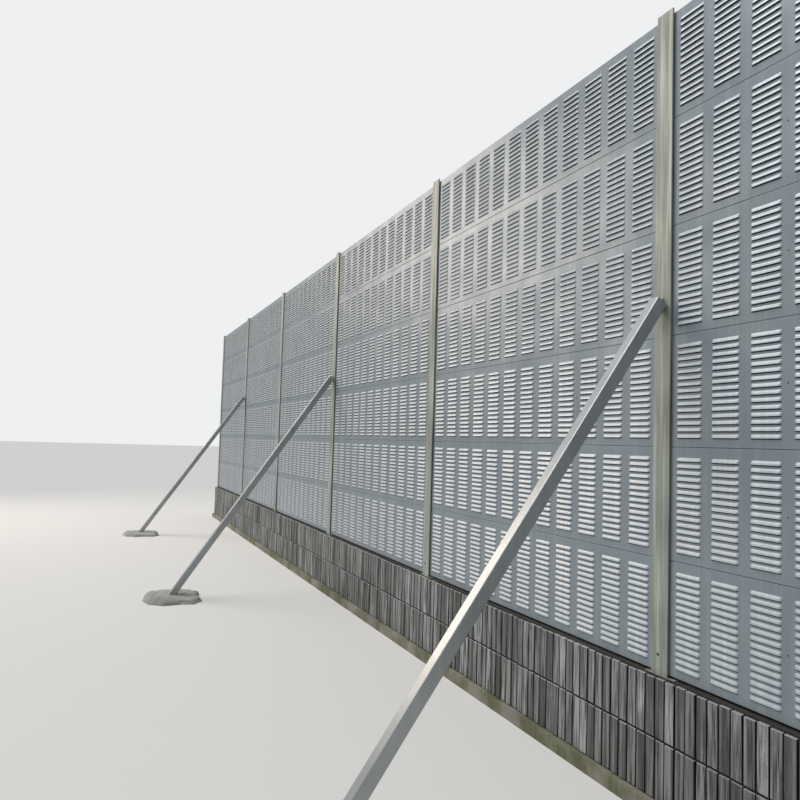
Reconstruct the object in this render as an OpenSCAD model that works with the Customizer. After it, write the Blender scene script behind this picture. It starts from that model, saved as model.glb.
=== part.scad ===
// Louvred aluminium noise barrier on a tiled plinth wall, with raking struts.
// X runs along the wall, the louvred front faces -Y, Z is up, and Z = 0 is the ground.

/* [Layout] */
// Number of bays between posts
bays = 6; // [2:2:8]
// Distance from post to post
bay_l = 2500; // [2000:50:3000]
// Number of panels stacked in a bay
rows = 6; // [1:1:8]

/* [Panel] */
// Height of one panel
panel_h = 500; // [400:10:600]
// Thickness of one panel
panel_t = 80; // [60:1:100]
// Gap between a panel's end and the post's web
panel_end_gap = 7; // [3:1:20]
// Chamfer along the panel's long edges
panel_chamfer = 2; // [1:0.5:4]
// Width of the tongue on a panel's top edge
tongue_w = 30; // [16:1:40]
// Height of the tongue
tongue_h = 8; // [4:1:15]
// Clearance of the tongue in its groove
tongue_gap = 0.3; // [0.1:0.1:1]

/* [Louvres] */
// Columns of louvres on a panel
louvre_cols = 12; // [4:1:14]
// Rows of louvres on a panel
louvre_rows = 15; // [4:1:16]
// Length of one louvre
louvre_l = 141; // [80:1:150]
// Height of a hood, as a share of the step from hood to hood
louvre_share = 0.72; // [0.4:0.01:0.9]
// How far a hood stands out of the sheet
louvre_out = 7; // [3:0.5:8]
// How far the strip between the hoods stands out of the sheet
louvre_seat = 1; // [0.5:0.1:2]
// Distance from the post's axis to the first louvre
louvre_edge = 86; // [70:1:150]
// Height from one louvre to the next
louvre_step = 28.4; // [20:0.1:30]

/* [Post] */
// Width of the post's flange
post_w = 100; // [80:1:150]
// Depth of the post's section
post_d = 100; // [98:1:150]
// Thickness of the flange
flange_t = 8; // [5:0.5:12]
// Thickness of the web
web_t = 6; // [4:0.5:10]
// Radius of the root fillets
root_r = 8; // [4:1:12]
// How far a post stands above the panels
post_rise = 20; // [0:1:60]
// Width of the post's base plate along the wall
plate_w = 180; // [150:1:260]
// Depth of the base plate
plate_d = 150; // [120:1:180]
// Thickness of the base plate
plate_t = 12; // [8:1:20]
// Distance of the plate's centre behind the post's axis
plate_back = 20; // [0:1:30]

/* [Plinth] */
// Height of the plinth wall above the ground
plinth_h = 600; // [300:10:900]
// Distance of the masonry's front face from the post's axis
core_front = 65; // [60:1:120]
// Distance of the masonry's back face from the post's axis
core_back = 155; // [130:1:250]
// Length of the plinth past the end posts' axes
plinth_over = 90; // [90:1:300]
// Height of the concrete strip at the foot
strip_h = 70; // [40:1:150]
// How far the strip stands out past the tiles
strip_out = 25; // [5:1:60]
// Thickness of the facing tiles with their bed
tile_t = 20; // [10:1:40]
// Height of the joint between the two courses
tile_joint = 10; // [4:1:20]
// Distance from the masonry's top down to the tiles' top
tile_drop = 4; // [1:1:20]

/* [Seals] */
// Height of the seal under the lowest panel
seal_h = 10; // [4:1:20]
// Width of the seal under the lowest panel
seal_w = 50; // [20:1:70]
// Depth of the upright seal's edge inside the flange's edge
seal_inset = 1; // [0.5:0.5:15]

/* [Struts] */
// Outer width of the square tube
strut_w = 60; // [40:1:70]
// Wall of the tube
strut_t = 3; // [2:0.5:6]
// Corner radius of the tube
strut_r = 6; // [4:0.5:10]
// Slope of the strut above the level
strut_angle = 55.2; // [48:1:65]
// Height of the strut's contact with the post above the lowest panel
strut_up = 1640; // [1200:10:2200]
// Thickness of the fin that joins tube and post
fin_t = 8; // [5:1:15]
// Width of the fin across the tube
fin_w = 20; // [10:1:40]
// Depth of the fin inside the tube
fin_in = 60; // [30:1:120]
// Length of the concrete pad across the strut
pad_l = 620; // [300:10:900]
// Length of the concrete pad along the strut
pad_w = 560; // [300:10:900]
// Thickness of the concrete pad
pad_h = 45; // [30:1:120]

/* [Hidden] */
$fn = 48;
// One overrun for every cut and every seat inside a sheet
over = 1;
wall_l = bays * bay_l;
panel_z = plinth_h + seal_h;
stack_h = rows * panel_h;
post_top = panel_z + stack_h + post_rise;
channel_d = post_d - 2 * flange_t;
// Panels lean on the back flange, and the gap at the front takes the upright seals
panel_back = channel_d / 2;
panel_face = panel_back - panel_t;
panel_l = bay_l - web_t - 2 * panel_end_gap;
louvre_pitch = (bay_l - 2 * louvre_edge - louvre_l) / (louvre_cols - 1);
louvre_first = (panel_h - (louvre_rows - 1 + louvre_share) * louvre_step) / 2;
plinth_l = wall_l + 2 * plinth_over;
core_w = core_front + core_back;
tile_z = strip_h + tile_joint / 2;
tile_h = (plinth_h - tile_drop - tile_z - tile_joint) / 2;
strip_front = core_front + tile_t + strip_out;
strip_back = core_back + tile_t + strip_out;
strip_l = plinth_l + 2 * (tile_t + strip_out);
seal_t = channel_d - panel_t;
seal_l = post_w / 2 - seal_inset - web_t / 2 - root_r;
strut_z = panel_z + strut_up;
strut_run = (strut_z - pad_h) / tan(strut_angle);
strut_l = (strut_z - pad_h) / sin(strut_angle) + strut_w / tan(strut_angle);
strut_foot = post_d / 2 + strut_run + strut_w / sin(strut_angle) / 2;
struts = floor(bays / 2);
// Outline of a poured pad, as shares of its half length and half width
pad_share = [[-1, -0.35], [-0.85, -0.8], [-0.4, -0.92], [0.1, -1], [0.7, -0.85], [1, -0.4], [0.92, 0.2],
    [1, 0.6], [0.6, 0.95], [0.05, 0.88], [-0.5, 1], [-0.9, 0.7]];

function post_x(i) = wall_l / 2 - (i - 1) * bay_l;
function bay_x(i) = post_x(i) - bay_l / 2;
function panel_name(b, r) = str("panel_", b, "_", r);

PANELS = [for (b = [1:bays], r = [1:rows]) panel_name(b, r)];
POSTS = [for (i = [1:bays + 1]) str("post_", i)];
STRUTS = [for (i = [1:struts]) str("strut_", i)];

// A box from its low corner, with its size
module block(low, size) {
    translate(low) cube(size);
}

// Extrudes a (Y, Z) outline along X from zero
module along_x(length) {
    rotate([90, 0, 90]) linear_extrude(length) children();
}

module footing_strip() {
    color("#8f8d82") block([-strip_l / 2, -strip_front, 0], [strip_l, strip_front + strip_back, strip_h]);
}

module base_plate_space(i) {
    block([post_x(i) - plate_w / 2, plate_back - plate_d / 2, plinth_h - plate_t],
        [plate_w, plate_d, plate_t + over]);
}

module plinth_wall() {
    color("#85827b") difference() {
        block([-plinth_l / 2, -core_front, strip_h], [plinth_l, core_w, plinth_h - strip_h]);
        for (i = [1:bays + 1]) base_plate_space(i);
    }
}

module tile_courses(low, size) {
    for (course = [0, 1]) {
        block([low[0], low[1], tile_z + course * (tile_h + tile_joint)], [size[0], size[1], tile_h]);
    }
}

module front_tiles() {
    color("#6c6a64") tile_courses([-plinth_l / 2, -core_front - tile_t], [plinth_l, tile_t]);
}

module back_tiles() {
    color("#6c6a64") tile_courses([-plinth_l / 2, core_back], [plinth_l, tile_t]);
}

module end_tiles() {
    color("#6c6a64") for (x = [-plinth_l / 2 - tile_t, plinth_l / 2]) {
        tile_courses([x, -core_front], [tile_t, core_w]);
    }
}

module root_fillet() {
    difference() {
        square(root_r);
        translate([root_r, root_r]) circle(root_r);
    }
}

module h_section() {
    for (s = [-1, 1]) {
        translate([-post_w / 2, s * (post_d - flange_t) / 2 - flange_t / 2]) square([post_w, flange_t]);
    }
    square([web_t, channel_d + over], center = true);
    for (sx = [0, 1], sy = [0, 1]) {
        mirror([sx, 0]) mirror([0, sy]) translate([web_t / 2, -channel_d / 2]) root_fillet();
    }
}

module post(i) {
    color("#a9aba0") {
        translate([post_x(i), 0, plinth_h]) linear_extrude(post_top - plinth_h) h_section();
        block([post_x(i) - plate_w / 2, plate_back - plate_d / 2, plinth_h - plate_t],
            [plate_w, plate_d, plate_t]);
    }
}

// Seals under the lowest panel of each bay
module base_seals() {
    color("#26282a") for (b = [1:bays]) {
        block([bay_x(b) - panel_l / 2, (panel_face + panel_back - seal_w) / 2, plinth_h],
            [panel_l, seal_w, seal_h]);
    }
}

// Seals between each front flange and the panels' face
module upright_seals() {
    color("#1d1f21") for (b = [1:bays], side = [-1, 1]) {
        edge = bay_x(b) + side * (bay_l / 2 - post_w / 2 + seal_inset + seal_l / 2);
        block([edge - seal_l / 2, -channel_d / 2, panel_z], [seal_l, seal_t, stack_h]);
    }
}

// The panel's cross-section: chamfered faces, a groove below and, under another panel, a tongue on top
module panel_section(has_tongue) {
    mid = (panel_face + panel_back) / 2;
    groove = tongue_w / 2 + tongue_gap;
    difference() {
        polygon([[panel_face + panel_chamfer, 0], [panel_back - panel_chamfer, 0],
            [panel_back, panel_chamfer], [panel_back, panel_h - panel_chamfer],
            [panel_back - panel_chamfer, panel_h], [panel_face + panel_chamfer, panel_h],
            [panel_face, panel_h - panel_chamfer], [panel_face, panel_chamfer]]);
        translate([mid - groove, -over]) square([2 * groove, tongue_h + tongue_gap + over]);
    }
    if (has_tongue) translate([mid - tongue_w / 2, panel_h - over]) square([tongue_w, tongue_h + over]);
}

// One column of hooded louvres as a saw-toothed strip whose back lies inside the sheet
module louvre_column() {
    hood_h = louvre_share * louvre_step;
    teeth = [for (i = [0:louvre_rows - 1]) let (z = louvre_first + i * louvre_step) each [
        [panel_face - louvre_out, z],
        [panel_face - louvre_seat, z + hood_h]
    ]];
    back = [[panel_face + over, louvre_first + (louvre_rows - 1) * louvre_step + hood_h],
        [panel_face + over, louvre_first]];
    along_x(louvre_l) polygon(concat(teeth, back));
}

module panel(b, r) {
    color("#98a1a6") translate([bay_x(b), 0, panel_z + (r - 1) * panel_h]) {
        translate([-panel_l / 2, 0, 0]) along_x(panel_l) panel_section(r < rows);
        for (c = [0:louvre_cols - 1]) {
            translate([-bay_l / 2 + louvre_edge + c * louvre_pitch, 0, 0]) louvre_column();
        }
    }
}

module tube_corners(width, radius) {
    reach = width / 2 - radius;
    square([width, 2 * reach], center = true);
    square([2 * reach, width], center = true);
    for (sx = [-1, 1], sy = [-1, 1]) translate([sx * reach, sy * reach]) circle(radius);
}

module tube_section() {
    difference() {
        tube_corners(strut_w, strut_r);
        tube_corners(strut_w - 2 * strut_t, strut_r - strut_t);
    }
}

// A raking tube cut square at the top, where a short fin joins its lower wall to the flange,
// and level at the pad
module strut(i) {
    x = post_x(2 * i);
    fin_reach = strut_w * tan(strut_angle);
    color("#b4b8b6") difference() {
        translate([x, -post_d / 2, strut_z]) rotate([90 + strut_angle, 0, 0]) {
            translate([0, strut_w / 2, 0]) linear_extrude(strut_l) tube_section();
            block([-fin_t / 2, strut_t - over, -fin_reach], [fin_t, fin_w + over, fin_reach + fin_in]);
        }
        block([x - strut_w, -post_d / 2, strut_z - strut_w], [2 * strut_w, post_d, 4 * strut_w]);
        block([x - strut_w, -strut_foot - 2 * strut_w, -strut_w],
            [2 * strut_w, 4 * strut_w, strut_w + pad_h]);
    }
}

module strut_pads() {
    color("#a5a7a4") for (i = [1:struts]) {
        translate([post_x(2 * i), -strut_foot, 0]) linear_extrude(pad_h) {
            polygon([for (p = pad_share) [p[0] * pad_l / 2, p[1] * pad_w / 2]]);
        }
    }
}

footing_strip();
plinth_wall();
front_tiles();
back_tiles();
end_tiles();
base_seals();
upright_seals();
strut_pads();
for (i = [1:bays + 1]) post(i);
for (i = [1:struts]) strut(i);
for (b = [1:bays], r = [1:rows]) panel(b, r);
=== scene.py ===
"""A louvred noise barrier on a tiled plinth wall, dressed over its solids.

X runs along the wall, the louvred front faces -Y and Z is up. Lengths are in metres.
"""

import logging
import math
import random
from dataclasses import dataclass, field
from enum import Enum

import bmesh
import bpy
from mathutils import Matrix, Vector, noise


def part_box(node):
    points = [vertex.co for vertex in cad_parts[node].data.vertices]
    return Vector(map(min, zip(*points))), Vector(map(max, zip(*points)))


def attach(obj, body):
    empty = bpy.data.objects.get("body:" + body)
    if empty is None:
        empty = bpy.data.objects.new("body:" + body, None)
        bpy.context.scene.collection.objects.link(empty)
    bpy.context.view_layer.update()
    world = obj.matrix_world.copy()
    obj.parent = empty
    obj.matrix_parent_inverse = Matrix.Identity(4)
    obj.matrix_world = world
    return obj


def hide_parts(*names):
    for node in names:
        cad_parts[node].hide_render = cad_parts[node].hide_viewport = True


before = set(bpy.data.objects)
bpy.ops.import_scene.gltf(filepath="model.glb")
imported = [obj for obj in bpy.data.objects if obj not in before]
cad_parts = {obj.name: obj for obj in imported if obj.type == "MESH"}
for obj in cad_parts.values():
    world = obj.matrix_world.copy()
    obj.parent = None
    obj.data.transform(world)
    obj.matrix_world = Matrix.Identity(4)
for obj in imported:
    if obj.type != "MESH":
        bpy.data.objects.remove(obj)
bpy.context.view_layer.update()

logging.basicConfig(level=logging.INFO, format="%(message)s")
log = logging.getLogger("barrier")

Colour = tuple[float, float, float]
Profile = tuple[tuple[float, float], ...]
MM = 0.001
TONE = "tone"
TURNED_TO_FRONT = Matrix.Rotation(math.radians(90), 4, "X")
# Places of the two colours among a Mix node's inputs
FIRST_COLOUR, SECOND_COLOUR = 6, 7


class Slot(Enum):
    """Names of the record's material slots; each new piece holds one, though nothing here applies it to its
    mesh.
    """

    PANEL = "panel_paint"
    POST = "post_steel"
    TILE = "tile"
    PAD = "pad_concrete"


class Side(Enum):
    """Sides of the plinth that carry tiles: the axis that they face along, and the direction."""

    FRONT = (1, -1)
    BACK = (1, 1)
    RIGHT = (0, 1)
    LEFT = (0, -1)


def linear(red: int, green: int, blue: int) -> Colour:
    """Turns an 8-bit display colour into linear values by the display's standard curve."""
    values = [channel / 255 for channel in (red, green, blue)]
    return tuple(v / 12.92 if v <= 0.04045 else ((v + 0.055) / 1.055) ** 2.4 for v in values)


@dataclass(frozen=True)
class Pattern:
    """A noise pattern, and the range of its values that is stretched to run from 0 to 1."""

    scale: float
    detail: float
    low: float = 0.0
    high: float = 1.0
    stretch: tuple[float, float, float] | None = None


GRIME_PATCHES = Pattern(2.2, 6.0, 0.42, 0.72)
UPRIGHT_RUNS = Pattern(1.0, 5.0, 0.48, 0.7, stretch=(38.0, 38.0, 1.3))
FINE_GRAIN = Pattern(260.0, 3.0, 0.45, 0.75)
GLOSS_PATCHES = Pattern(9.0, 4.0)
SHEET_WAVES = Pattern(3.1, 1.0)
TILE_RIBS = Pattern(1.0, 3.0, 0.4, 0.62, stretch=(120.0, 120.0, 5.0))
MOSS_PATCHES = Pattern(5.0, 8.0, 0.4, 0.62)


class NodeBuilder:
    """Adds nodes to a tree and wires them with short calls."""

    def __init__(self, tree: bpy.types.NodeTree) -> None:
        """Takes the tree that gets the nodes."""
        self.tree = tree

    def add(self, kind: str, **settings) -> bpy.types.Node:
        """Adds one node and sets its properties.

        Args:
            kind: The node's type name.
            **settings: Property values to set on the node.

        Returns:
            The new node.
        """
        made = self.tree.nodes.new(kind)
        for key, value in settings.items():
            setattr(made, key, value)
        return made

    def wire(self, source: bpy.types.NodeSocket, target: bpy.types.NodeSocket) -> None:
        """Links an output to an input."""
        self.tree.links.new(source, target)

    def noise(self, vector: bpy.types.NodeSocket, pattern: Pattern) -> bpy.types.NodeSocket:
        """Adds a noise.

        Args:
            vector: The coordinates that it reads.
            pattern: Its fineness, detail and stretch.

        Returns:
            The noise factor.
        """
        if pattern.stretch:
            mapping = self.add("ShaderNodeMapping")
            mapping.inputs["Scale"].default_value = pattern.stretch
            self.wire(vector, mapping.inputs["Vector"])
            vector = mapping.outputs["Vector"]
        made = self.add("ShaderNodeTexNoise")
        made.inputs["Scale"].default_value = pattern.scale
        made.inputs["Detail"].default_value = pattern.detail
        self.wire(vector, made.inputs["Vector"])
        return made.outputs["Fac"]

    def spread(self, value: bpy.types.NodeSocket, pattern: Pattern) -> bpy.types.NodeSocket:
        """Stretches a noise over the pattern's range.

        Args:
            value: The noise factor.
            pattern: The pattern that gives the range.

        Returns:
            The stretched value.
        """
        made = self.add("ShaderNodeMapRange")
        made.inputs["From Min"].default_value = pattern.low
        made.inputs["From Max"].default_value = pattern.high
        self.wire(value, made.inputs["Value"])
        return made.outputs["Result"]

    def mask(self, vector: bpy.types.NodeSocket, pattern: Pattern) -> bpy.types.NodeSocket:
        """Returns a noise stretched over its own range."""
        return self.spread(self.noise(vector, pattern), pattern)

    def times(self, first: bpy.types.NodeSocket, second: bpy.types.NodeSocket) -> bpy.types.NodeSocket:
        """Multiplies two values.

        Args:
            first: One value.
            second: The other value.

        Returns:
            Their product.
        """
        made = self.add("ShaderNodeMath", operation="MULTIPLY")
        self.wire(first, made.inputs[0])
        self.wire(second, made.inputs[1])
        return made.outputs[0]

    def blend(
        self, factor: bpy.types.NodeSocket, first: bpy.types.NodeSocket, second: bpy.types.NodeSocket
    ) -> bpy.types.NodeSocket:
        """Mixes two colours.

        Args:
            factor: The share of the second colour.
            first: The colour where the factor is zero.
            second: The colour where the factor is one.

        Returns:
            The mixed colour.
        """
        made = self.add("ShaderNodeMix", data_type="RGBA")
        self.wire(factor, made.inputs["Factor"])
        self.wire(first, made.inputs[FIRST_COLOUR])
        self.wire(second, made.inputs[SECOND_COLOUR])
        return made.outputs[2]


def new_group(
    name: str, inputs: dict[str, str], outputs: dict[str, str]
) -> tuple[bpy.types.NodeTree, NodeBuilder, bpy.types.Node, bpy.types.Node]:
    """Makes an empty shader node group.

    Args:
        name: The group's name.
        inputs: Socket types by input name.
        outputs: Socket types by output name.

    Returns:
        The group, its builder, its input node and its output node.
    """
    group = bpy.data.node_groups.new(name, "ShaderNodeTree")
    for label, kind in inputs.items():
        group.interface.new_socket(label, in_out="INPUT", socket_type=kind)
    for label, kind in outputs.items():
        group.interface.new_socket(label, in_out="OUTPUT", socket_type=kind)
    build = NodeBuilder(group)
    return group, build, build.add("NodeGroupInput"), build.add("NodeGroupOutput")


def weather_group() -> bpy.types.NodeTree:
    """Builds the shared effect of grime, upright runs and fine grain.

    Returns:
        The node group.
    """
    group, build, given, result = new_group(
        "Weathering",
        {
            "Vector": "NodeSocketVector",
            "Base": "NodeSocketColor",
            "Grime": "NodeSocketColor",
            "Runs": "NodeSocketColor",
            "Grime Amount": "NodeSocketFloat",
            "Run Amount": "NodeSocketFloat",
            "Grain Amount": "NodeSocketFloat",
            "Gloss Low": "NodeSocketFloat",
            "Gloss High": "NodeSocketFloat",
        },
        {
            "Color": "NodeSocketColor",
            "Roughness": "NodeSocketFloat",
            "Height": "NodeSocketFloat",
            "Wave": "NodeSocketFloat",
        },
    )
    place = given.outputs["Vector"]
    patches = build.mask(place, GRIME_PATCHES)
    runs = build.mask(place, UPRIGHT_RUNS)
    grain = build.noise(place, FINE_GRAIN)
    specks = build.spread(grain, FINE_GRAIN)
    grime = given.outputs["Grime"]
    grimy = build.blend(build.times(patches, given.outputs["Grime Amount"]), given.outputs["Base"], grime)
    streaked = build.blend(build.times(runs, given.outputs["Run Amount"]), grimy, given.outputs["Runs"])
    speckled = build.blend(build.times(specks, given.outputs["Grain Amount"]), streaked, grime)
    gloss = build.add("ShaderNodeMapRange")
    build.wire(build.noise(place, GLOSS_PATCHES), gloss.inputs["Value"])
    build.wire(given.outputs["Gloss Low"], gloss.inputs["To Min"])
    build.wire(given.outputs["Gloss High"], gloss.inputs["To Max"])
    build.wire(speckled, result.inputs["Color"])
    build.wire(gloss.outputs["Result"], result.inputs["Roughness"])
    build.wire(grain, result.inputs["Height"])
    build.wire(build.noise(place, SHEET_WAVES), result.inputs["Wave"])
    return group


def tile_group() -> bpy.types.NodeTree:
    """Builds the effect that gives each split tile its own tone and fine upright ribs.

    Returns:
        The node group.
    """
    group, build, given, result = new_group(
        "Tile tone",
        {
            "Vector": "NodeSocketVector",
            "Dark": "NodeSocketColor",
            "Pale": "NodeSocketColor",
            "Tone": "NodeSocketFloat",
        },
        {"Color": "NodeSocketColor"},
    )
    ribs = build.mask(given.outputs["Vector"], TILE_RIBS)
    tone = build.blend(given.outputs["Tone"], given.outputs["Dark"], given.outputs["Pale"])
    build.wire(build.blend(ribs, given.outputs["Dark"], tone), result.inputs["Color"])
    return group


def moss_group() -> bpy.types.NodeTree:
    """Builds the effect of moss in patches.

    Returns:
        The node group.
    """
    group, build, given, result = new_group(
        "Moss",
        {"Vector": "NodeSocketVector", "Ground": "NodeSocketColor", "Moss": "NodeSocketColor"},
        {"Color": "NodeSocketColor"},
    )
    patches = build.mask(given.outputs["Vector"], MOSS_PATCHES)
    build.wire(build.blend(patches, given.outputs["Ground"], given.outputs["Moss"]), result.inputs["Color"])
    return group


@dataclass(frozen=True)
class Finish:
    """One surface finish: its colours, wear and gloss. Depths are in metres."""

    name: str
    base: Colour
    grime: Colour
    runs: Colour
    grime_amount: float = 0.3
    run_amount: float = 0.3
    grain_amount: float = 0.15
    gloss: tuple[float, float] = (0.4, 0.6)
    metallic: float = 0.0
    bump: float = 0.1
    bump_depth: float = 0.5 * MM
    wave_depth: float = 0.0
    second: Colour | None = None
    effect: str = ""


class Paintbox:
    """Makes each finish's material once and keeps it."""

    def __init__(self) -> None:
        """Builds the shared effects."""
        self.weather = weather_group()
        self.effects = {"tile": tile_group(), "moss": moss_group()}
        self.made: dict[str, bpy.types.Material] = {}

    def material(self, finish: Finish) -> bpy.types.Material:
        """Builds a finish's material from the shared effects, or finds it again.

        Args:
            finish: The surface to paint.

        Returns:
            The material.
        """
        if finish.name in self.made:
            return self.made[finish.name]
        material = bpy.data.materials.new(finish.name)
        material.use_nodes = True
        build = NodeBuilder(material.node_tree)
        shader = material.node_tree.nodes["Principled BSDF"]
        shader.inputs["Metallic"].default_value = finish.metallic
        place = build.add("ShaderNodeTexCoord").outputs["Object"]
        worn = build.add("ShaderNodeGroup")
        worn.node_tree = self.weather
        build.wire(place, worn.inputs["Vector"])
        for label, colour in (("Base", finish.base), ("Grime", finish.grime), ("Runs", finish.runs)):
            worn.inputs[label].default_value = (*colour, 1.0)
        worn.inputs["Grime Amount"].default_value = finish.grime_amount
        worn.inputs["Run Amount"].default_value = finish.run_amount
        worn.inputs["Grain Amount"].default_value = finish.grain_amount
        worn.inputs["Gloss Low"].default_value, worn.inputs["Gloss High"].default_value = finish.gloss
        if finish.effect:
            self._first_coat(build, finish, place, worn)
        bump = build.add("ShaderNodeBump")
        bump.inputs["Strength"].default_value = finish.bump
        bump.inputs["Distance"].default_value = finish.bump_depth
        build.wire(worn.outputs["Height"], bump.inputs["Height"])
        if finish.wave_depth:
            wave = build.add("ShaderNodeBump")
            wave.inputs["Distance"].default_value = finish.wave_depth
            build.wire(worn.outputs["Wave"], wave.inputs["Height"])
            build.wire(wave.outputs["Normal"], bump.inputs["Normal"])
        build.wire(worn.outputs["Color"], shader.inputs["Base Color"])
        build.wire(worn.outputs["Roughness"], shader.inputs["Roughness"])
        build.wire(bump.outputs["Normal"], shader.inputs["Normal"])
        self.made[finish.name] = material
        return material

    def _first_coat(
        self, build: NodeBuilder, finish: Finish, place: bpy.types.NodeSocket, worn: bpy.types.Node
    ) -> None:
        """Puts the finish's own effect under the weathering.

        Args:
            build: The builder of the material's tree.
            finish: The finish with the effect.
            place: The coordinates that the effect reads.
            worn: The weathering group's node.
        """
        coat = build.add("ShaderNodeGroup")
        coat.node_tree = self.effects[finish.effect]
        build.wire(place, coat.inputs["Vector"])
        coat.inputs[1].default_value = (*finish.base, 1.0)
        coat.inputs[2].default_value = (*finish.second, 1.0)
        if finish.effect == "tile":
            tone = build.add("ShaderNodeAttribute", attribute_name=TONE)
            build.wire(tone.outputs["Fac"], coat.inputs["Tone"])
        build.wire(coat.outputs["Color"], worn.inputs["Base"])


SHEET = Finish(
    "panel sheet", linear(132, 143, 150), linear(110, 121, 128), linear(162, 168, 171),
    grime_amount=0.45, run_amount=0.25, grain_amount=0.1, gloss=(0.3, 0.44), metallic=0.35,
    wave_depth=16 * MM,
)
# The hood is pressed from the panel's own sheet; its paler colour is painted highlight, the light on its
# upturned face.
HOOD_HIGHLIGHT = Finish(
    "louvre hood", linear(173, 182, 188), linear(145, 154, 160), linear(210, 215, 218),
    grime_amount=0.35, run_amount=0.3, grain_amount=0.06, gloss=(0.3, 0.45), metallic=0.35,
)
# The hood's underside and the slit are the panel's own sheet; this near-black colour is painted shade in the
# hollow under the hood.
SLIT_SHADE = Finish(
    "louvre slit", linear(38, 44, 52), linear(22, 26, 31), linear(60, 66, 74),
    gloss=(0.6, 0.8),
)
GALVANISED = Finish(
    "galvanised post", linear(150, 156, 147), linear(94, 101, 92), linear(208, 206, 196),
    grime_amount=0.6, run_amount=0.75, grain_amount=0.25, gloss=(0.42, 0.62), metallic=0.3,
)
TUBE = Finish(
    "galvanised tube", linear(168, 172, 173), linear(128, 134, 137), linear(202, 205, 204),
    grime_amount=0.4, run_amount=0.15, grain_amount=0.15, gloss=(0.28, 0.42), metallic=0.7,
)
DARK_BOLT = Finish(
    "weathered bolt", linear(74, 72, 66), linear(46, 42, 38), linear(110, 106, 96),
    grime_amount=0.6, gloss=(0.5, 0.7), metallic=0.6,
)
RUBBER = Finish(
    "black rubber", linear(24, 26, 29), linear(40, 41, 42), linear(34, 36, 38),
    gloss=(0.7, 0.85),
)
# Near-black: the plinth's core shows only on its top beside the panels, and this colour paints the shadow of
# the gap under the panels there, on the back strip too.
MORTAR_PAINTED_SHADE = Finish(
    "mortar", linear(46, 45, 42), linear(30, 30, 28), linear(84, 83, 78),
    grime_amount=0.6, run_amount=0.3, grain_amount=0.5, gloss=(0.85, 0.95), bump=0.6, bump_depth=2 * MM,
)
# Near-black joint colour: real in the mortar bed behind the joints, painted shade on the tiles' sides
# between them.
JOINT_AND_SIDE_SHADE = Finish(
    "tile joint", linear(26, 26, 25), linear(16, 16, 16), linear(44, 44, 42),
    grime_amount=0.6, run_amount=0.2, grain_amount=0.4, gloss=(0.85, 0.95), bump=0.5, bump_depth=1 * MM,
)
TILE = Finish(
    "split tile", linear(62, 63, 60), linear(38, 38, 35), linear(178, 182, 180),
    grime_amount=0.55, run_amount=0.55, grain_amount=0.45, gloss=(0.7, 0.9), bump=0.8, bump_depth=2 * MM,
    second=linear(184, 190, 189), effect="tile",
)
TILE_TOP = Finish(
    "tile top", linear(152, 156, 155), linear(96, 98, 97), linear(182, 186, 186),
    grime_amount=0.7, run_amount=0.2, grain_amount=0.5, gloss=(0.8, 0.95), bump=0.7, bump_depth=2 * MM,
)
KERB = Finish(
    "mossy concrete", linear(136, 133, 122), linear(84, 82, 74), linear(160, 158, 148),
    grime_amount=0.55, run_amount=0.2, grain_amount=0.5, gloss=(0.85, 0.95), bump=0.8, bump_depth=3 * MM,
    second=linear(88, 93, 60), effect="moss",
)
POURED = Finish(
    "poured concrete", linear(160, 161, 157), linear(108, 108, 103), linear(186, 186, 180),
    grime_amount=0.6, run_amount=0.1, grain_amount=0.5, gloss=(0.85, 0.95), bump=0.9, bump_depth=4 * MM,
)


@dataclass(frozen=True)
class WallPlan:
    """Sizes that the wall's parts share."""

    bays: int = 6
    rows: int = 6
    pitch: float = 2.5
    panel_height: float = 0.5
    panel_bottom: float = 0.61
    face: float = -0.038
    back: float = 0.042
    post_half: float = 0.05

    def bay_centre(self, bay: int) -> float:
        """Returns the X of a bay's middle, counted from the right."""
        return (self.bays / 2 - bay + 0.5) * self.pitch

    def post_x(self, post: int) -> float:
        """Returns the X of a post's axis, counted from the right."""
        return (self.bays / 2 - (post - 1)) * self.pitch


@dataclass
class Piece:
    """A mesh under construction, with the finishes of its faces."""

    name: str
    slot: Slot
    finishes: list[Finish]
    nodes: list[str]
    mesh: bmesh.types.BMesh = field(default_factory=bmesh.new)

    def emit(self, paints: Paintbox) -> bpy.types.Object:
        """Turns the mesh into an object that stands for its solids.

        Args:
            paints: Where the materials come from.

        Returns:
            The finished object.
        """
        data = bpy.data.meshes.new(self.name)
        self.mesh.to_mesh(data)
        self.mesh.free()
        for finish in self.finishes:
            data.materials.append(paints.material(finish))
        made = bpy.data.objects.new(self.name, data)
        bpy.context.scene.collection.objects.link(made)
        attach(made, "root")
        if self.nodes:
            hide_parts(*self.nodes)
        log.info("%s: %d faces", self.name, len(data.polygons))
        return made


def add_box(mesh: bmesh.types.BMesh, low: Vector, high: Vector, finish: int = 0) -> list[bmesh.types.BMVert]:
    """Adds a closed box between two corners.

    Args:
        mesh: The mesh that takes the box.
        low: The corner with the least coordinates.
        high: The opposite corner.
        finish: Index of the box's finish.

    Returns:
        The box's vertices.
    """
    size = high - low
    place = Matrix.Translation((low + high) / 2) @ Matrix.Diagonal((*size, 1.0))
    verts = bmesh.ops.create_cube(mesh, size=1.0, matrix=place)["verts"]
    for face in {face for vert in verts for face in vert.link_faces}:
        face.material_index = finish
    return verts


def edges_of(verts: list[bmesh.types.BMVert]) -> list[bmesh.types.BMEdge]:
    """Returns each edge that meets the vertices once."""
    return list(dict.fromkeys(edge for vert in verts for edge in vert.link_edges))


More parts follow.
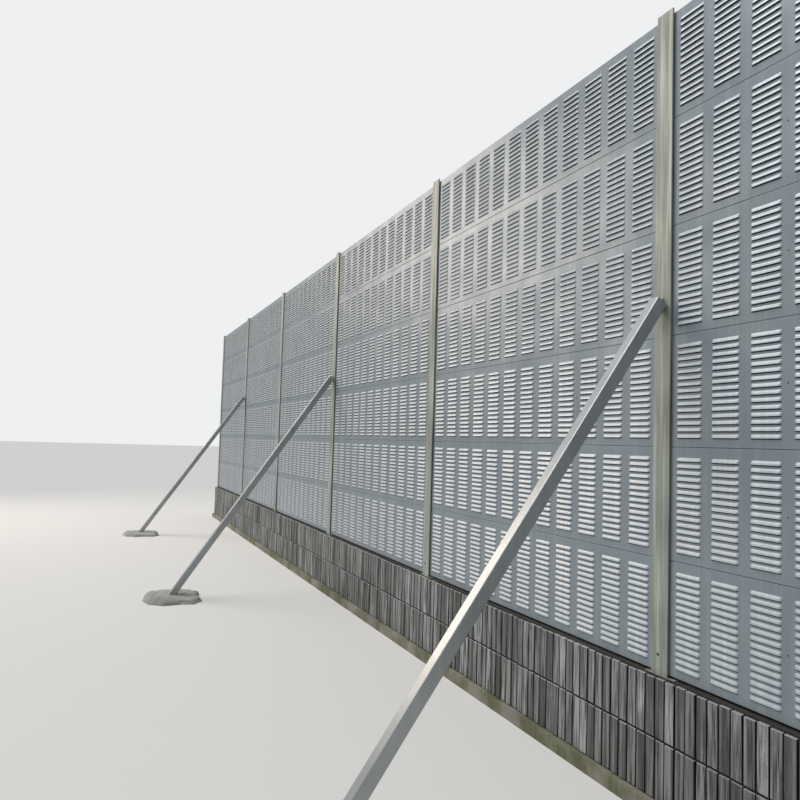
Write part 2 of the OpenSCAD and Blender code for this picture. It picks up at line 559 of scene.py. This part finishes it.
def soften(
    mesh: bmesh.types.BMesh, edges: list[bmesh.types.BMEdge], width: float, segments: int = 1
) -> set[bmesh.types.BMFace]:
    """Rounds edges by a width.

    Args:
        mesh: The mesh that holds the edges.
        edges: The edges to round.
        width: How far the rounding reaches.
        segments: Steps in the rounding.

    Returns:
        Each face that meets the rounded edges.
    """
    made = bmesh.ops.bevel(
        mesh, geom=edges, offset=width, segments=segments, profile=0.5, affect="EDGES", material=-1
    )
    return {face for vert in made["verts"] for face in vert.link_faces}


@dataclass
class Louvre:
    """One pressed hood over its slit, as a closed shell that starts inside the sheet.

    The profiles give Y and Z in millimetres, from the sheet's face and the hood's lip.
    """

    length: float = 0.141
    taper: float = 0.009
    end_share: float = 0.14
    merge: float = 0.01 * MM
    brow: Profile = ((-0.4, -4.5), (0.5, -4.5), (0.5, 18.2), (-1.8, 14.8))
    hood: Profile = ((-1.8, 14.8), (-5.2, 7.8), (-7.0, 1.0), (-6.6, 0.0), (-6.1, 0.4))
    slit: Profile = ((-6.1, 0.4), (-4.8, 5.2), (-0.4, 8.0), (-0.4, -4.5))

    def _sweep(self, mesh: bmesh.types.BMesh, profile: Profile, finish: int) -> None:
        """Draws one part of the section along the louvre, low at both ends.

        Args:
            mesh: The mesh that takes it.
            profile: The part's outline.
            finish: Index of its finish.
        """
        verts = [mesh.verts.new((0.0, y * MM * self.end_share, z * MM)) for y, z in profile]
        edges = [mesh.edges.new(pair) for pair in zip(verts, verts[1:])]
        steps = (
            (self.taper, 1 / self.end_share),
            (self.length - 2 * self.taper, 1.0),
            (self.taper, self.end_share),
        )
        for run, share in steps:
            grown = bmesh.ops.extrude_edge_only(mesh, edges=edges)["geom"]
            verts = [item for item in grown if isinstance(item, bmesh.types.BMVert)]
            edges = [item for item in grown if isinstance(item, bmesh.types.BMEdge)]
            bmesh.ops.scale(mesh, vec=(1.0, share, 1.0), verts=verts)
            bmesh.ops.translate(mesh, vec=(run, 0.0, 0.0), verts=verts)
        for face in mesh.faces:
            if face.material_index == 0:
                face.material_index = finish

    def build(self, hood: int, slit: int) -> bmesh.types.BMesh:
        """Builds the louvre with its left end and lip at the origin.

        Args:
            hood: Index of the hood's finish, whose paler colour is painted highlight.
            slit: Index of the dark finish inside, which is painted shade under the hood.

        Returns:
            The closed shell, its brow in the sheet's own finish.
        """
        mesh = bmesh.new()
        self._sweep(mesh, self.slit, slit)
        self._sweep(mesh, self.hood, hood)
        self._sweep(mesh, self.brow, 0)
        bmesh.ops.remove_doubles(mesh, verts=mesh.verts, dist=self.merge)
        rims = [edge for edge in mesh.edges if edge.is_boundary]
        for face in bmesh.ops.holes_fill(mesh, edges=rims, sides=0)["faces"]:
            face.material_index = hood
        bmesh.ops.recalc_face_normals(mesh, faces=mesh.faces)
        return mesh


@dataclass
class PanelMaker:
    """The stacked louvred panels of every bay."""

    plan: WallPlan
    columns: int = 12
    rows: int = 15
    length: float = 2.48
    fold: float = 1.5 * MM
    joint: float = 2 * MM
    skin: float = 3 * MM
    first_column: float = 0.086
    row_step: float = 28.4 * MM
    first_row: float = 40.98 * MM
    rivet: float = 4 * MM
    rivet_height: float = 1.6 * MM
    rivet_lift: float = 0.3 * MM
    rivet_crown: float = 0.6
    rivet_sides: int = 10
    rivet_every: int = 3
    louvre: Louvre = field(default_factory=Louvre)

    # Index 1 is the hood's painted highlight; index 2 is the near-black painted shade of the slits, also
    # used for the seam core and the rivet heads.
    HOOD_HIGHLIGHT_INDEX = 1
    SLIT_SHADE_INDEX = 2

    def _column_x(self, column: int) -> float:
        """Returns a column's left end, measured from the bay's middle."""
        step = (self.plan.pitch - 2 * self.first_column - self.louvre.length) / (self.columns - 1)
        return -self.plan.pitch / 2 + self.first_column + column * step

    def _template(self) -> bmesh.types.BMesh:
        """Builds one panel with its lower edge at zero and its middle at the origin.

        The body comes last: its rounding frees vertex slots, which the louvres would fill out of order.

        Returns:
            The panel's mesh.
        """
        plan = self.plan
        mesh = bmesh.new()
        single = bpy.data.meshes.new("louvre pattern")
        pattern = self.louvre.build(self.HOOD_HIGHLIGHT_INDEX, self.SLIT_SHADE_INDEX)
        pattern.to_mesh(single)
        pattern.free()
        for column in range(self.columns):
            for row in range(self.rows):
                known = len(mesh.verts)
                mesh.from_mesh(single)
                mesh.verts.ensure_lookup_table()
                place = (self._column_x(column), plan.face, self.first_row + row * self.row_step)
                bmesh.ops.translate(mesh, vec=place, verts=mesh.verts[known:])
        bpy.data.meshes.remove(single)
        self._add_rivets(mesh)
        half, gap, skin = self.length / 2, self.joint / 2, self.skin
        # A core set back from the face fills the seams between stacked panels; its near-black colour paints
        # the shade in the seams.
        add_box(
            mesh,
            Vector((-half + skin, plan.face + skin, 0.0)),
            Vector((half - skin, plan.back - skin, plan.panel_height)),
            self.SLIT_SHADE_INDEX,
        )
        body = add_box(
            mesh, Vector((-half, plan.face, gap)), Vector((half, plan.back, plan.panel_height - gap))
        )
        long_edges = [edge for edge in edges_of(body) if edge.calc_length() > self.length / 2]
        soften(mesh, long_edges, self.fold, 2)
        return mesh

    def _add_rivets(self, mesh: bmesh.types.BMesh) -> None:
        """Adds the rivet heads at mid-height, between groups of columns.

        Args:
            mesh: The panel's mesh.
        """
        for column in range(self.rivet_every, self.columns, self.rivet_every):
            gap_end = self._column_x(column)
            gap_start = self._column_x(column - 1) + self.louvre.length
            middle = (gap_start + gap_end) / 2
            place = Matrix.Translation(
                (middle, self.plan.face - self.rivet_lift, self.plan.panel_height / 2)
            )
            head = bmesh.ops.create_cone(
                mesh, cap_ends=True, segments=self.rivet_sides, radius1=self.rivet,
                radius2=self.rivet * self.rivet_crown, depth=self.rivet_height,
                matrix=place @ TURNED_TO_FRONT,
            )
            # The rivet heads take the same near-black finish that paints the shade in the slits.
            for face in {face for vert in head["verts"] for face in vert.link_faces}:
                face.material_index = self.SLIT_SHADE_INDEX

    def build(self, paints: Paintbox) -> None:
        """Places a copy of the panel at every row of every bay.

        Args:
            paints: Where the materials come from.
        """
        plan = self.plan
        template = self._template()
        for bay in range(1, plan.bays + 1):
            for row in range(1, plan.rows + 1):
                copy = template.copy()
                lift = plan.panel_bottom + (row - 1) * plan.panel_height
                bmesh.ops.translate(copy, vec=(plan.bay_centre(bay), 0.0, lift), verts=copy.verts)
                name = f"panel_{bay}_{row}"
                Piece(f"louvred_{name}", Slot.PANEL, [SHEET, HOOD_HIGHLIGHT, SLIT_SHADE], [name], copy).emit(paints)
        template.free()


@dataclass
class TileMaker:
    """The upright split tiles of the plinth, bedded in mortar."""

    pitch: float = 0.060
    thick: float = 20 * MM
    joint: float = 8 * MM
    bed: float = 7 * MM
    course_joint: float = 10 * MM
    edge: float = 2 * MM
    depth_play: float = 4 * MM
    side_play: float = 1.5 * MM
    top_play: float = 3 * MM
    bed_drop: float = 1 * MM
    dark_lean: float = 1.1
    seed: int = 7

    JOINT_AND_SIDE_SHADE_INDEX = 1
    TOP_INDEX = 2

    def _face_boxes(self, node: str, side: Side) -> list[tuple[Vector, Vector]]:
        """Finds the slabs that one side's tiles fill.

        Args:
            node: The solid that holds the side's tiles.
            side: The side of the plinth.

        Returns:
            The low and high corners of the lower and the upper course.
        """
        low, high = (Vector(corner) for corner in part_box(node))
        split = (low.z + high.z) / 2
        if side is Side.RIGHT:
            low.x = high.x - self.thick
        if side is Side.LEFT:
            high.x = low.x + self.thick
        half = self.course_joint / 2
        lower = (low.copy(), Vector((high.x, high.y, split - half)))
        upper = (Vector((low.x, low.y, split + half)), high.copy())
        return [lower, upper]

    def _lay(self, piece: Piece, low: Vector, high: Vector, side: Side, chance: random.Random) -> None:
        """Lays one course of tiles.

        Args:
            piece: The piece that takes them.
            low: The course's low corner.
            high: The course's high corner.
            side: The side of the plinth.
            chance: The draws that vary the tiles.
        """
        outward, direction = side.value
        axis = 1 - outward
        tones = piece.mesh.faces.layers.float[TONE]
        length = high[axis] - low[axis]
        count = round(length / self.pitch)
        step = length / count
        for index in range(count):
            play = chance.uniform(0, self.depth_play)
            start, end = low.copy(), high.copy()
            left, right = low[axis] + index * step, low[axis] + (index + 1) * step
            start[axis] = left + self.joint / 2 + chance.uniform(-1, 1) * self.side_play
            end[axis] = right - self.joint / 2 + chance.uniform(-1, 1) * self.side_play
            end.z -= chance.uniform(0, self.top_play)
            if direction < 0:
                start[outward] += play
            else:
                end[outward] -= play
            verts = add_box(piece.mesh, start, end)
            self._dress(verts, axis, end.z)
            shade = chance.random() ** self.dark_lean
            for face in soften(piece.mesh, edges_of(verts), self.edge):
                face[tones] = shade

    def _dress(self, verts: list[bmesh.types.BMVert], axis: int, top: float) -> None:
        """Gives a tile a paler top, and sides in the near-black joint finish as painted shade where it meets
        the joints.

        Args:
            verts: The tile's vertices.
            axis: The axis along which the tiles are laid.
            top: The height of the tile's top.
        """
        for face in {face for vert in verts for face in vert.link_faces}:
            along = [vert.co[axis] for vert in face.verts]
            # Faces across the laying axis are the tiles' sides in the joints; the near-black joint finish
            # paints the shade there.
            if max(along) - min(along) < MM:
                face.material_index = self.JOINT_AND_SIDE_SHADE_INDEX
            elif min(vert.co.z for vert in face.verts) > top - MM:
                face.material_index = self.TOP_INDEX

    def build(self, paints: Paintbox) -> None:
        """Builds the tiles of every side.

        Args:
            paints: Where the materials come from.
        """
        chance = random.Random(self.seed)
        jobs = {
            "front_tiles": [Side.FRONT],
            "back_tiles": [Side.BACK],
            "end_tiles": [Side.LEFT, Side.RIGHT],
        }
        for node, sides in jobs.items():
            piece = Piece(f"split_{node}", Slot.TILE, [TILE, JOINT_AND_SIDE_SHADE, TILE_TOP], [node])
            piece.mesh.faces.layers.float.new(TONE)
            for side in sides:
                slabs = self._face_boxes(node, side)
                for low, high in slabs:
                    self._lay(piece, low, high, side, chance)
                self._add_bed(piece, slabs[0][0], slabs[1][1], side)
            piece.emit(paints)

    def _add_bed(self, piece: Piece, low: Vector, high: Vector, side: Side) -> None:
        """Fills the back of the joints with mortar.

        Args:
            piece: The piece that takes it.
            low: The low corner of the side's tiles.
            high: The high corner of the side's tiles.
            side: The side of the plinth.
        """
        start, end = low.copy(), high.copy()
        outward, direction = side.value
        if direction < 0:
            start[outward] = end[outward] - self.bed
        else:
            end[outward] = start[outward] + self.bed
        end.z -= self.bed_drop
        add_box(piece.mesh, start, end, self.JOINT_AND_SIDE_SHADE_INDEX)


@dataclass
class PadMaker:
    """The rough pads poured round the struts' feet.

    The rim gives the outline as shares of half the length and half the width. Each ring gives the
    outline's share and the share of the height that it reaches there.
    """

    plan: WallPlan
    braced_posts: tuple[int, ...] = (2, 4, 6)
    rough: float = 12 * MM
    lumps: float = 17.0
    lump_octaves: int = 4
    ragged: float = 0.12
    ragged_grain: float = 0.7
    least_height: float = 1 * MM
    rim_cuts: int = 3
    rim: Profile = (
        (-1, -0.35), (-0.85, -0.8), (-0.4, -0.92), (0.1, -1), (0.7, -0.85), (1, -0.4), (0.92, 0.2),
        (1, 0.6), (0.6, 0.95), (0.05, 0.88), (-0.5, 1), (-0.9, 0.7),
    )
    rings: Profile = (
        (1.0, 0.0), (0.97, 0.45), (0.92, 0.8), (0.82, 0.96), (0.7, 1.0), (0.56, 0.97), (0.42, 1.0),
        (0.28, 1.0), (0.14, 1.0),
    )

    def build(self, paints: Paintbox) -> None:
        """Builds all pads as one piece.

        Args:
            paints: Where the materials come from.
        """
        piece = Piece("rough_pads", Slot.PAD, [POURED], ["strut_pads"])
        low, high = (Vector(corner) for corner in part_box("strut_pads"))
        places = [self.plan.post_x(post) for post in self.braced_posts]
        half_size = ((high.x - low.x) / 2 - max(places), (high.y - low.y) / 2)
        for along in places:
            centre = Vector((along, (low.y + high.y) / 2, 0))
            self._pour(piece.mesh, centre, half_size, high.z)
        piece.emit(paints)

    def _pour(
        self, mesh: bmesh.types.BMesh, centre: Vector, half_size: tuple[float, float], top: float
    ) -> None:
        """Pours one pad: rings of the outline that rise and shrink towards the middle.

        Args:
            mesh: The mesh that takes it.
            centre: The middle of its foot.
            half_size: Half its length and half its width.
            top: Its height.
        """
        half_x, half_y = half_size
        base = mesh.faces.new([mesh.verts.new((x * half_x, y * half_y, 0.0)) for x, y in self.rim])
        bmesh.ops.subdivide_edges(mesh, edges=list(base.edges), cuts=self.rim_cuts)
        edges = list(base.edges)
        share, height = self.rings[0]
        for next_share, next_height in self.rings[1:]:
            grown = bmesh.ops.extrude_edge_only(mesh, edges=edges)["geom"]
            verts = [item for item in grown if isinstance(item, bmesh.types.BMVert)]
            edges = [item for item in grown if isinstance(item, bmesh.types.BMEdge)]
            factor = next_share / share
            bmesh.ops.scale(mesh, vec=(factor, factor, 1.0), verts=verts)
            bmesh.ops.translate(mesh, vec=(0, 0, (next_height - height) * top), verts=verts)
            share, height = next_share, next_height
        bmesh.ops.contextual_create(mesh, geom=edges)
        pad = self._island(base)
        self._roughen(pad, centre, top)
        bmesh.ops.translate(mesh, vec=centre, verts=pad)
        faces = dict.fromkeys(face for vert in pad for face in vert.link_faces)
        bmesh.ops.recalc_face_normals(mesh, faces=list(faces))

    def _roughen(self, pad: list[bmesh.types.BMVert], centre: Vector, top: float) -> None:
        """Gives a pad its lumps and its ragged rim.

        Args:
            pad: The pad's vertices, round the origin.
            centre: Where the pad will lie, so that no two pads look alike.
            top: Its height.
        """
        for vert in pad:
            if vert.co.z > 0:
                place = vert.co * self.lumps + centre
                lump = noise.turbulence(place, self.lump_octaves, False) * self.rough
                shrink = 1 - self.ragged * abs(noise.noise(place * self.ragged_grain))
                vert.co.z = min(top, max(self.least_height, vert.co.z - lump))
                vert.co.x *= shrink
                vert.co.y *= shrink

    @staticmethod
    def _island(seed: bmesh.types.BMFace) -> list[bmesh.types.BMVert]:
        """Finds every vertex that is joined to a face.

        Args:
            seed: The face.

        Returns:
            The vertices.
        """
        found = dict.fromkeys(seed.verts)
        waiting = list(found)
        while waiting:
            vert = waiting.pop()
            for edge in vert.link_edges:
                other = edge.other_vert(vert)
                if other not in found:
                    found[other] = None
                    waiting.append(other)
        return list(found)


@dataclass
class BoltMaker:
    """The bolt at the foot of each post's front flange."""

    plan: WallPlan
    height: float = 0.688
    off_axis: float = -8 * MM
    head: float = 5 * MM
    head_height: float = 3 * MM
    head_sides: int = 6
    washer: float = 6.5 * MM
    washer_height: float = 1 * MM
    washer_sides: int = 20

    def build(self, paints: Paintbox) -> None:
        """Builds all bolts as one piece.

        Args:
            paints: Where the materials come from.
        """
        piece = Piece("foot_bolts", Slot.POST, [DARK_BOLT], [])
        flange = -self.plan.post_half
        layers = (
            (self.washer, self.washer_height, 0.0, self.washer_sides),
            (self.head, self.head_height, self.washer_height, self.head_sides),
        )
        for post in range(1, self.plan.bays + 2):
            along = self.plan.post_x(post) + self.off_axis
            for radius, thick, start, sides in layers:
                place = Matrix.Translation((along, flange - start - thick / 2, self.height))
                bmesh.ops.create_cone(
                    piece.mesh, cap_ends=True, segments=sides, radius1=radius, radius2=radius,
                    depth=thick, matrix=place @ TURNED_TO_FRONT,
                )
        piece.emit(paints)


class SolidPainter:
    """Gives the solids that keep their own shape their finishes."""

    COATS = {
        "post_": GALVANISED,
        "strut_": TUBE,
        "footing_strip": KERB,
        # The plinth's top takes the near-black painted shade of the gap under the panels.
        "plinth_wall": MORTAR_PAINTED_SHADE,
        "base_seals": RUBBER,
        "upright_seals": RUBBER,
        "panel_": SHEET,
        "front_tiles": TILE,
        "back_tiles": TILE,
        "end_tiles": TILE,
        "strut_pads": POURED,
    }

    def paint(self, paints: Paintbox) -> None:
        """Paints each solid by the longest name that fits it.

        Args:
            paints: Where the materials come from.
        """
        for solid in [item for item in bpy.data.objects if item.type == "MESH"]:
            fitting = [prefix for prefix in self.COATS if solid.name.startswith(prefix)]
            if not fitting:
                continue
            coat = self.COATS[max(fitting, key=len)]
            solid.data.materials.clear()
            solid.data.materials.append(paints.material(coat))
            log.info("%s: %s", solid.name, coat.name)


@dataclass
class Studio:
    """Floor, sky, lights and the camera of the photograph. Angles are in degrees."""

    camera_place: tuple[float, float, float] = (7.657, -2.426, 1.595)
    yaw: float = 22.411
    pitch: float = 3.251
    roll: float = 1.706
    focal: float = 744.44
    picture: int = 800
    sensor: float = 36.0
    far_limit: float = 400.0
    sky_light: Colour = (0.38, 0.4, 0.42)
    sky_seen: Colour = (0.86, 0.87, 0.88)
    floor_half: float = 120.0
    floor_colour: Colour = (0.62, 0.62, 0.61)
    floor_roughness: float = 0.9
    sun_towards: tuple[float, float, float] = (-0.4, -0.62, 1.15)
    sun_strength: float = 2.3
    sun_spread: float = 50.0
    sun_colour: Colour = (1.0, 0.98, 0.95)
    lamp_place: tuple[float, float, float] = (-9.4, -7.2, 7.4)
    lamp_target: tuple[float, float, float] = (1.0, 0.0, 3.0)
    lamp_size: float = 5.0
    lamp_power: float = 460.0
    lamp_colour: Colour = (1.0, 0.83, 0.7)

    def floor(self) -> None:
        """Lays the plain pale floor."""
        mesh = bmesh.new()
        bmesh.ops.create_grid(mesh, x_segments=1, y_segments=1, size=self.floor_half)
        data = bpy.data.meshes.new("studio_floor")
        mesh.to_mesh(data)
        mesh.free()
        material = bpy.data.materials.new("studio floor")
        material.use_nodes = True
        shader = material.node_tree.nodes["Principled BSDF"]
        shader.inputs["Base Color"].default_value = (*self.floor_colour, 1.0)
        shader.inputs["Roughness"].default_value = self.floor_roughness
        data.materials.append(material)
        self._stage("studio_floor", data)

    @staticmethod
    def _stage(name: str, data: bpy.types.ID) -> bpy.types.Object:
        """Puts a thing of the studio in the scene.

        Args:
            name: Its name.
            data: Its mesh or light.

        Returns:
            Its object.
        """
        made = bpy.data.objects.new(name, data)
        bpy.context.scene.collection.objects.link(made)
        return made

    def far_warm_light(self) -> None:
        """Hangs a soft square light that gives the upper panels their warm glints."""
        light = bpy.data.lights.new("far warm light", "AREA")
        light.size = self.lamp_size
        light.energy = self.lamp_power
        light.color = self.lamp_colour
        made = self._stage("far warm light", light)
        place, target = Vector(self.lamp_place), Vector(self.lamp_target)
        made.location = place
        made.rotation_euler = (target - place).to_track_quat("-Z", "Y").to_euler()

    def soft_sun(self) -> None:
        """Adds an even light with soft shadows."""
        light = bpy.data.lights.new("soft sun", "SUN")
        light.energy = self.sun_strength
        light.angle = math.radians(self.sun_spread)
        light.color = self.sun_colour
        made = self._stage("soft sun", light)
        made.rotation_euler = Vector(self.sun_towards).to_track_quat("Z", "Y").to_euler()

    def sky(self) -> None:
        """Sets an even pale sky."""
        world = bpy.data.worlds.new("studio sky")
        world.use_nodes = True
        build = NodeBuilder(world.node_tree)
        shade = world.node_tree.nodes["Background"]
        path = build.add("ShaderNodeLightPath")
        colour = build.add("ShaderNodeMix", data_type="RGBA")
        colour.inputs[FIRST_COLOUR].default_value = (*self.sky_light, 1.0)
        colour.inputs[SECOND_COLOUR].default_value = (*self.sky_seen, 1.0)
        build.wire(path.outputs["Is Camera Ray"], colour.inputs["Factor"])
        build.wire(colour.outputs[2], shade.inputs["Color"])
        shade.inputs["Strength"].default_value = 1.0
        bpy.context.scene.world = world

    def camera(self) -> None:
        """Sets the camera at the photograph's place and turn."""
        yaw, pitch, roll = (math.radians(angle) for angle in (self.yaw, self.pitch, self.roll))
        level = math.cos(pitch)
        ahead = Vector((-math.cos(yaw) * level, math.sin(yaw) * level, math.sin(pitch)))
        level_right = ahead.cross(Vector((0, 0, 1))).normalized()
        level_up = level_right.cross(ahead)
        right = math.cos(roll) * level_right + math.sin(roll) * level_up
        upward = math.cos(roll) * level_up - math.sin(roll) * level_right
        data = bpy.data.cameras.new("photo camera")
        data.sensor_width = self.sensor
        data.lens = self.focal / self.picture * self.sensor
        data.clip_end = self.far_limit
        made = bpy.data.objects.new("photo camera", data)
        turn = Matrix((right, upward, -ahead)).transposed().to_4x4()
        made.matrix_world = Matrix.Translation(Vector(self.camera_place)) @ turn
        bpy.context.scene.collection.objects.link(made)
        bpy.context.scene.camera = made

    def build(self) -> None:
        """Sets up the whole studio."""
        self.floor()
        self.sky()
        self.soft_sun()
        self.far_warm_light()
        self.camera()
        bpy.context.scene.view_settings.view_transform = "Standard"


def main() -> None:
    """Builds the barrier from the plinth up, then the studio."""
    paints = Paintbox()
    plan = WallPlan()
    SolidPainter().paint(paints)
    TileMaker().build(paints)
    PadMaker(plan).build(paints)
    PanelMaker(plan).build(paints)
    BoltMaker(plan).build(paints)
    Studio().build()


if __name__ == "__main__":
    main()
